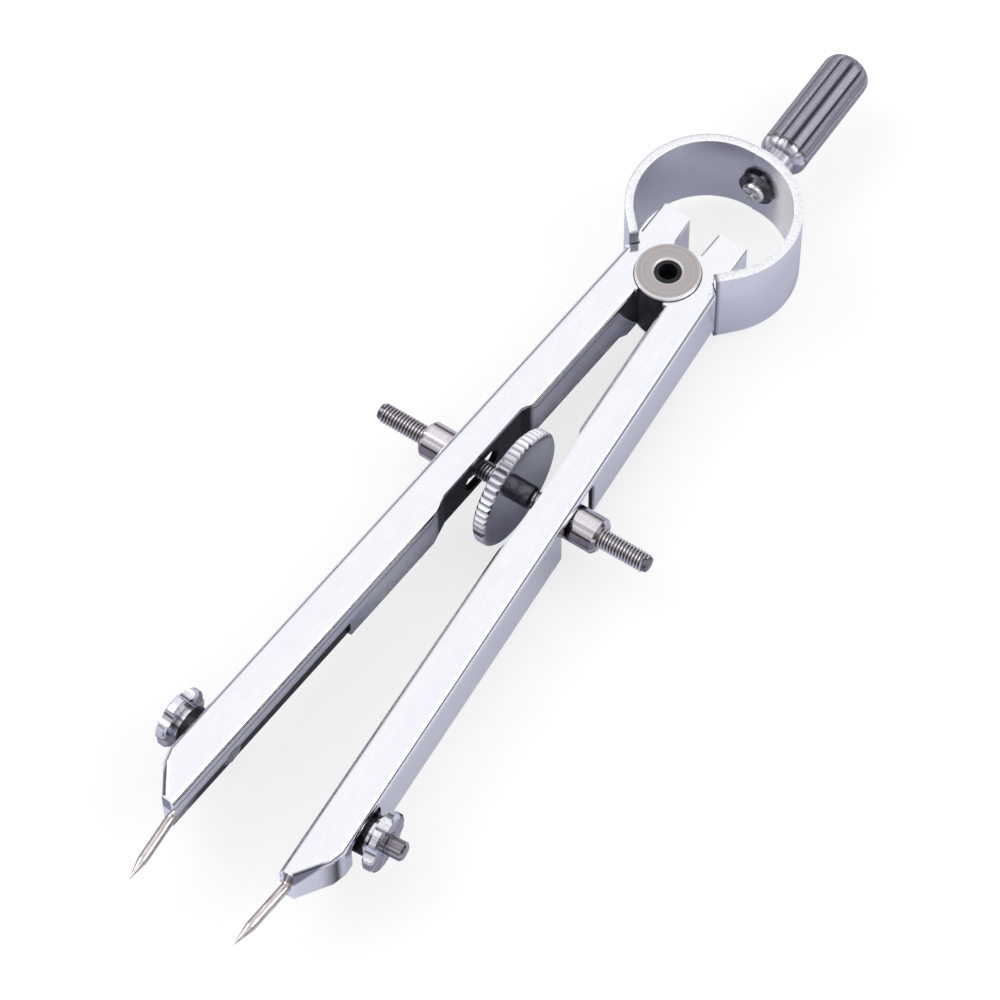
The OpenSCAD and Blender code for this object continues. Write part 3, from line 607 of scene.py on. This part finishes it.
def plastic_finish(name):
    """Moulded black plastic: fine grain and faint flow marks."""
    look = Finish(name)
    x, y, z = look.axes()
    grain = look.noise(look.vector(x * 9.0, y * 9.0, z * 9.0), 5.0, 0.6)
    flow = look.noise(look.vector(x * 0.8, y * 0.8, z * 0.3), 2.0)
    base = colours().plastic
    colour = look.mix(flow.fade(0.35, 0.7), shade(base, 0.7), shade(base, 1.6))
    rough = grain * 0.2 + flow * 0.1 + 0.24
    normal = look.bump(grain, 0.3, 0.02)
    return look.surface(colour, rough, normal, metallic=0.0, shine=0.25)


def only(*objects):
    """Selects these objects alone; the first becomes the active one."""
    bpy.ops.object.select_all(action="DESELECT")
    for obj in objects:
        obj.select_set(True)
    bpy.context.view_layer.objects.active = objects[0]


def settle(obj, name):
    """Names the piece, puts its place into its mesh and turns its faces outwards."""
    only(obj)
    bpy.ops.object.transform_apply(location=True, rotation=True, scale=True)
    bpy.ops.object.mode_set(mode="EDIT")
    bpy.ops.mesh.select_all(action="SELECT")
    bpy.ops.mesh.remove_doubles(threshold=1e-7)
    bpy.ops.mesh.normals_make_consistent(inside=False)
    bpy.ops.object.mode_set(mode="OBJECT")
    obj.name = name
    obj.data.name = name


def apply_modifier(obj, kind, name, **settings):
    """Adds a modifier with these settings and applies it."""
    only(obj)
    modifier = obj.modifiers.new(name, kind)
    for key, value in settings.items():
        setattr(modifier, key, value)
    bpy.ops.object.modifier_apply(modifier=name)


def paint(obj, material):
    obj.data.materials.clear()
    obj.data.materials.append(material)


def smooth(obj, degrees):
    only(obj)
    bpy.ops.object.shade_smooth_by_angle(angle=math.radians(degrees))


def sweep_by(move):
    """Extrudes what is selected along a vector."""
    bpy.ops.mesh.extrude_region_move(TRANSFORM_OT_translate={"value": move})


class COMPASS_OT_ring(bpy.types.Operator):
    """Spring strip in two halves, each bending between the handle and its leg"""

    bl_idname = "compass.ring"
    bl_label = "Spring ring"

    arm_steps = 4
    bend_steps = 56
    stiff_share = 0.12
    least_top_share = 0.9

    def strip(self, name):
        """Right half of the strip, from the arm's end to the middle of the top, and the arm's end."""
        size = sizes()
        centre = Vector((size.ring_flat, size.pivot_y + size.ring_height, size.pivot_z))
        turn = size.arm_slope - math.pi / 2
        out = Vector((math.cos(turn), math.sin(turn), 0))
        down = Vector((math.sin(turn), -math.cos(turn), 0))
        arm_end = centre + out * (size.ring_r - size.strip_t / 2) + down * size.arm_len
        bpy.ops.mesh.primitive_plane_add(size=1, location=(0, 0, 0))
        obj = bpy.context.object
        obj.scale = (size.strip_t, size.strip_w, 1)
        only(obj)
        bpy.ops.object.transform_apply(location=False, rotation=False, scale=True)
        obj.rotation_euler = (math.pi / 2, 0, turn)
        obj.location = arm_end
        bpy.ops.object.transform_apply(location=True, rotation=True, scale=True)
        bpy.ops.object.mode_set(mode="EDIT")
        bpy.ops.mesh.select_all(action="SELECT")
        for _ in range(self.arm_steps):
            sweep_by(-down * (size.arm_len / self.arm_steps))
        bpy.ops.mesh.spin(
            steps=self.bend_steps, angle=size.arm_slope - math.pi, center=centre, axis=(0, 0, 1), dupli=False
        )
        sweep_by((-size.ring_flat, 0, 0))
        bpy.ops.object.mode_set(mode="OBJECT")
        settle(obj, name)
        top = max(corner.co.y for corner in obj.data.vertices)
        if top < centre.y + size.ring_r * self.least_top_share:
            raise RuntimeError("the ring's flank was spun the wrong way")
        return obj, arm_end

    def drill(self, obj, side):
        """Cuts the hole for the handle's screw, which the left half has at its mirrored place."""
        size = sizes()
        strip_middle = size.pivot_y + size.ring_height + size.ring_r - size.strip_t / 2
        bpy.ops.mesh.primitive_cylinder_add(
            radius=size.screw_hole_r,
            depth=4 * size.strip_t,
            vertices=ROUND_CORNERS,
            location=(side * size.handle_off, strip_middle, size.pivot_z),
            rotation=(math.pi / 2, 0, 0),
        )
        cutter = bpy.context.object
        apply_modifier(obj, "BOOLEAN", "hole", object=cutter, operation="DIFFERENCE", solver="EXACT")
        bpy.data.objects.remove(cutter)

    def half(self, side, material):
        size = sizes()
        name = "ring_right_half" if side > 0 else "ring_left_half"
        obj, arm_end = self.strip(name)
        self.drill(obj, side)
        apply_modifier(
            obj,
            "BEVEL",
            "edge",
            width=size.strip_edge,
            segments=3,
            limit_method="ANGLE",
            angle_limit=math.radians(60),
        )
        if side < 0:
            only(obj)
            bpy.ops.transform.mirror(constraint_axis=(True, False, False), center_override=(0, 0, 0))
            settle(obj, name)
        smooth(obj, 35)
        paint(obj, material)
        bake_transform(obj)
        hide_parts("spring_ring")

    def execute(self, context):
        material = ring_finish("ring strip")
        for side in (1, -1):
            self.half(side, material)
        return {"FINISHED"}


class COMPASS_OT_rod(bpy.types.Operator):
    """Cross screw with real threads of opposite hand on its two halves"""

    bl_idname = "compass.rod"
    bl_label = "Cross screw"

    thread_steps = 40
    flat_share = 0.08

    def thread(self, side):
        """One half's thread: a V profile swept by a screw modifier."""
        size = sizes()
        first = size.wheel_t / 2 + size.seat_over
        turns = int((size.rod_half - first) / size.pitch) - 1
        flat = self.flat_share
        bpy.ops.mesh.primitive_plane_add(size=size.pitch, location=(0, 0, 0))
        obj = bpy.context.object
        bpy.ops.object.mode_set(mode="EDIT")
        bpy.ops.mesh.select_all(action="SELECT")
        bpy.ops.mesh.merge(type="CENTER")
        bpy.ops.transform.translate(value=(0, 0, size.rod_r - size.thread_depth))
        for step, rise in ((flat, 0), (0.5 - 1.5 * flat, 1), (flat, 0), (0.5 - 0.5 * flat, -1)):
            sweep_by((side * step * size.pitch, 0, rise * size.thread_depth))
        bpy.ops.object.mode_set(mode="OBJECT")
        apply_modifier(
            obj,
            "SCREW",
            "sweep",
            axis="X",
            steps=self.thread_steps,
            render_steps=self.thread_steps,
            screw_offset=side * size.pitch,
            iterations=turns,
            use_merge_vertices=True,
            merge_threshold=1e-6,
            use_smooth_shade=True,
        )
        obj.location.x = side * first
        return obj

    def round_bar(self, radius, bar_length):
        bpy.ops.mesh.primitive_cylinder_add(
            radius=radius, depth=bar_length, vertices=ROUND_CORNERS, rotation=(0, math.pi / 2, 0)
        )
        return bpy.context.object

    def execute(self, context):
        size = sizes()
        core_lap = 0.02 * MM
        end_chamfer = 0.3 * MM
        halves = [self.thread(side) for side in (1, -1)]
        core = self.round_bar(size.rod_r - size.thread_depth + core_lap, 2 * size.rod_half)
        seat = self.round_bar(size.rod_r, size.wheel_t + 2 * size.seat_over)
        apply_modifier(core, "BEVEL", "end", width=end_chamfer, segments=2, limit_method="ANGLE")
        only(core, seat, *halves)
        bpy.ops.object.join()
        core.location = (0, size.pivot_y - size.rod_drop, size.pivot_z)
        only(core)
        bpy.ops.object.transform_apply(location=True, rotation=True, scale=True)
        core.name = core.data.name = "threaded_rod"
        smooth(core, 30)
        paint(core, thread_finish("rolled thread"))
        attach(core, "screw")
        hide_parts("adjusting_screw")
        return {"FINISHED"}


class COMPASS_OT_finishes(bpy.types.Operator):
    """Materials of the pieces that come from the CAD"""

    bl_idname = "compass.finishes"
    bl_label = "Finishes"

    def execute(self, context):
        tints = colours()
        # Clamp washers darkened to near black: painted shade of the gap between the leg and the collar
        black = shade(tints.dark, 0.3)
        made = {
            "handle": handle_finish("satin handle"),
            "handle_screw": oiled_finish("handle screw steel", tints.screw_head, least_rough=0.16),
            "handle_washer": oiled_finish("seat washer steel", tints.dark, least_rough=0.24),
            "pivot_roller": plastic_finish("black roller"),
            "front_washer": washer_finish("brushed washer"),
            "left_leg": leg_finish("left leg plate", side=-1),
            "right_leg": leg_finish("right leg plate", side=1),
            "left_nut": nut_finish("turned nut"),
            "thumbwheel": wheel_finish("thumbwheel plate"),
            "wheel_hub": oiled_finish("hub steel", tints.dark, least_rough=0.24),
            "left_clamp_washer": oiled_finish("clamp washer steel", black, least_rough=0.3),
            "left_needle": needle_finish("ground needle"),
        }
        made["back_washer"] = made["front_washer"]
        for name in ("nut", "clamp_washer", "needle"):
            made["right_" + name] = made["left_" + name]
        bolt_tint = shade(tints.thread, 0.75)
        for side, word in ((-1, "left"), (1, "right")):
            made[word + "_clamp_bolt"] = clamp_finish(
                word + " bolt steel", side, bolt_tint, count=1.6, face_r=1.2
            )
            made[word + "_clamp_collar"] = clamp_finish(
                word + " collar plate", side, tints.wheel, count=2.4, face_r=1.6
            )
            made[word + "_thumb_nut"] = clamp_finish(
                word + " thumb nut plate", side, tints.wheel, count=2.0, face_r=3.9
            )
        for name, material in made.items():
            paint(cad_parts[name], material)
        return {"FINISHED"}


def join_shaders(tree, share, first, second):
    """Mix of two shader nodes: the first one where the share is 0, the second one where it is 1."""
    made = tree.nodes.new("ShaderNodeMixShader")
    if isinstance(share, bpy.types.NodeSocket):
        tree.links.new(share, made.inputs[0])
    else:
        made.inputs[0].default_value = share
    tree.links.new(first.outputs[0], made.inputs[1])
    tree.links.new(second.outputs[0], made.inputs[2])
    return made


class COMPASS_OT_stage(bpy.types.Operator):
    """Floor, light and the photograph's camera"""

    bl_idname = "compass.stage"
    bl_label = "Stage"

    floor_width = 8
    floor_drop = 0.05 * MM
    glow_share = 0.72

    def floor(self):
        """White with light shadows to the camera, lilac grey with full shadows in the metal."""
        bpy.ops.mesh.primitive_plane_add(size=self.floor_width, location=(0, 0, -self.floor_drop))
        floor = bpy.context.object
        floor.name = "floor"
        look = Finish("pale floor")
        x, y = look.axes()[:2]
        dust = look.noise(look.vector(x * 0.02, y * 0.02, 0.0), 3.0)
        colour = look.mix(dust, (0.93, 0.93, 0.93), (0.96, 0.96, 0.96))
        lit = look.node("ShaderNodeBsdfDiffuse", None, Color=colour)
        glow = look.node("ShaderNodeEmission", None, Strength=1.0)
        mirrored = look.node("ShaderNodeBsdfDiffuse", None, Color=colours().floor_seen)
        path = look.node("ShaderNodeLightPath")
        seen = join_shaders(look.tree, self.glow_share, lit, glow)
        mixed = join_shaders(look.tree, path.outputs["Is Glossy Ray"], seen, mirrored)
        look.feed(look.output.inputs["Surface"], mixed.outputs[0])
        paint(floor, look.material)

    def sky(self):
        """Nearly white overhead, dimmer lower down, dark at eye level; plain white to the camera."""
        world = bpy.data.worlds.new("studio")
        bpy.context.scene.world = world
        world.use_nodes = True
        tree = world.node_tree
        tree.nodes.clear()
        out = tree.nodes.new("ShaderNodeOutputWorld")
        place = tree.nodes.new("ShaderNodeTexCoord")
        parts = tree.nodes.new("ShaderNodeSeparateXYZ")
        tree.links.new(place.outputs["Generated"], parts.inputs[0])
        z = Wave(tree, parts.outputs["Z"])
        level = z.fade(0.10, 0.42, 0.05, 0.60) + z.fade(0.40, 0.75, 0.0, 0.40)
        colour = tree.nodes.new("ShaderNodeCombineXYZ")
        for socket, factor in zip(colour.inputs, (1.0, 1.0, 1.025)):
            tree.links.new((level * factor).socket, socket)
        light = tree.nodes.new("ShaderNodeBackground")
        tree.links.new(colour.outputs[0], light.inputs["Color"])
        white = tree.nodes.new("ShaderNodeBackground")
        white.inputs["Color"].default_value = (1, 1, 1, 1)
        path = tree.nodes.new("ShaderNodeLightPath")
        mixed = join_shaders(tree, path.outputs["Is Camera Ray"], light, white)
        tree.links.new(mixed.outputs[0], out.inputs["Surface"])

    def lamp(self, name, place, diameter, power):
        """Round soft lamp aimed at the middle of the part."""
        bpy.ops.object.light_add(type="AREA", location=place)
        lamp = bpy.context.object
        lamp.name = name
        lamp.data.shape = "DISK"
        lamp.data.size = diameter
        lamp.data.energy = power
        lamp.rotation_euler = (-Vector(place)).to_track_quat("-Z", "Y").to_euler()

    def camera(self):
        """Camera that sees the pivot at the photograph's place, angle and scale."""
        size = sizes()
        about_x, about_y, about_z = (
            Matrix.Rotation(angle, 3, axis) for angle, axis in zip(VIEW_TURNS, ("X", "Y", "Z"))
        )
        turn = about_x @ about_y @ about_z
        right_px = PICTURE_PX / 2 - PIVOT_PX[0]
        up_px = PIVOT_PX[1] - PICTURE_PX / 2
        from_pivot = Vector((right_px, up_px, FOCAL_PX)) / PX_PER_MM * MM
        data = bpy.data.cameras.new("camera")
        camera = bpy.data.objects.new("camera", data)
        bpy.context.scene.collection.objects.link(camera)
        data.sensor_width = SENSOR_MM
        data.lens = FOCAL_PX / PICTURE_PX * SENSOR_MM
        data.clip_start = 0.05
        data.clip_end = 20
        place = Vector((0, size.pivot_y, size.pivot_z)) + turn.transposed() @ from_pivot
        camera.matrix_world = Matrix.Translation(place) @ turn.transposed().to_4x4()
        bpy.context.scene.camera = camera

    def execute(self, context):
        self.floor()
        self.sky()
        self.lamp("soft key", (-0.8, -0.2, 1.0), diameter=0.9, power=5.0)
        self.lamp("soft fill", (0.9, 0.3, 0.9), diameter=0.8, power=4.0)
        self.camera()
        bpy.context.scene.view_settings.view_transform = "Standard"
        return {"FINISHED"}


OPERATORS = (COMPASS_OT_finishes, COMPASS_OT_ring, COMPASS_OT_rod, COMPASS_OT_stage)


class COMPASS_PT_panel(bpy.types.Panel):
    """Sizes, colours and the operators in building order"""

    bl_idname = "COMPASS_PT_panel"
    bl_label = "Spring bow compass"
    bl_space_type = "VIEW_3D"
    bl_region_type = "UI"
    bl_category = "Compass"

    def draw(self, context):
        for group in (context.scene.compass_sizes, context.scene.compass_colours):
            box = self.layout.box()
            for name in group.bl_rna.properties.keys():
                if name not in {"rna_type", "name"}:
                    box.prop(group, name)
        for operator in OPERATORS:
            self.layout.operator(operator.bl_idname)


CLASSES = (CompassSizes, CompassColours, *OPERATORS, COMPASS_PT_panel)


def register():
    for cls in CLASSES:
        bpy.utils.register_class(cls)
    bpy.types.Scene.compass_sizes = bpy.props.PointerProperty(type=CompassSizes)
    bpy.types.Scene.compass_colours = bpy.props.PointerProperty(type=CompassColours)


def unregister():
    del bpy.types.Scene.compass_sizes
    del bpy.types.Scene.compass_colours
    for cls in reversed(CLASSES):
        bpy.utils.unregister_class(cls)


def main():
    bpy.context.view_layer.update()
    register()
    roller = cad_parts["pivot_roller"]
    corners = [roller.matrix_world @ Vector(corner) for corner in roller.bound_box]
    pivot = sum(corners, Vector()) / len(corners)
    sizes().pivot_y = pivot.y
    sizes().pivot_z = pivot.z
    bpy.ops.compass.finishes()
    bpy.ops.compass.ring()
    bpy.ops.compass.rod()
    bpy.ops.compass.stage()


if __name__ == "__main__":
    main()
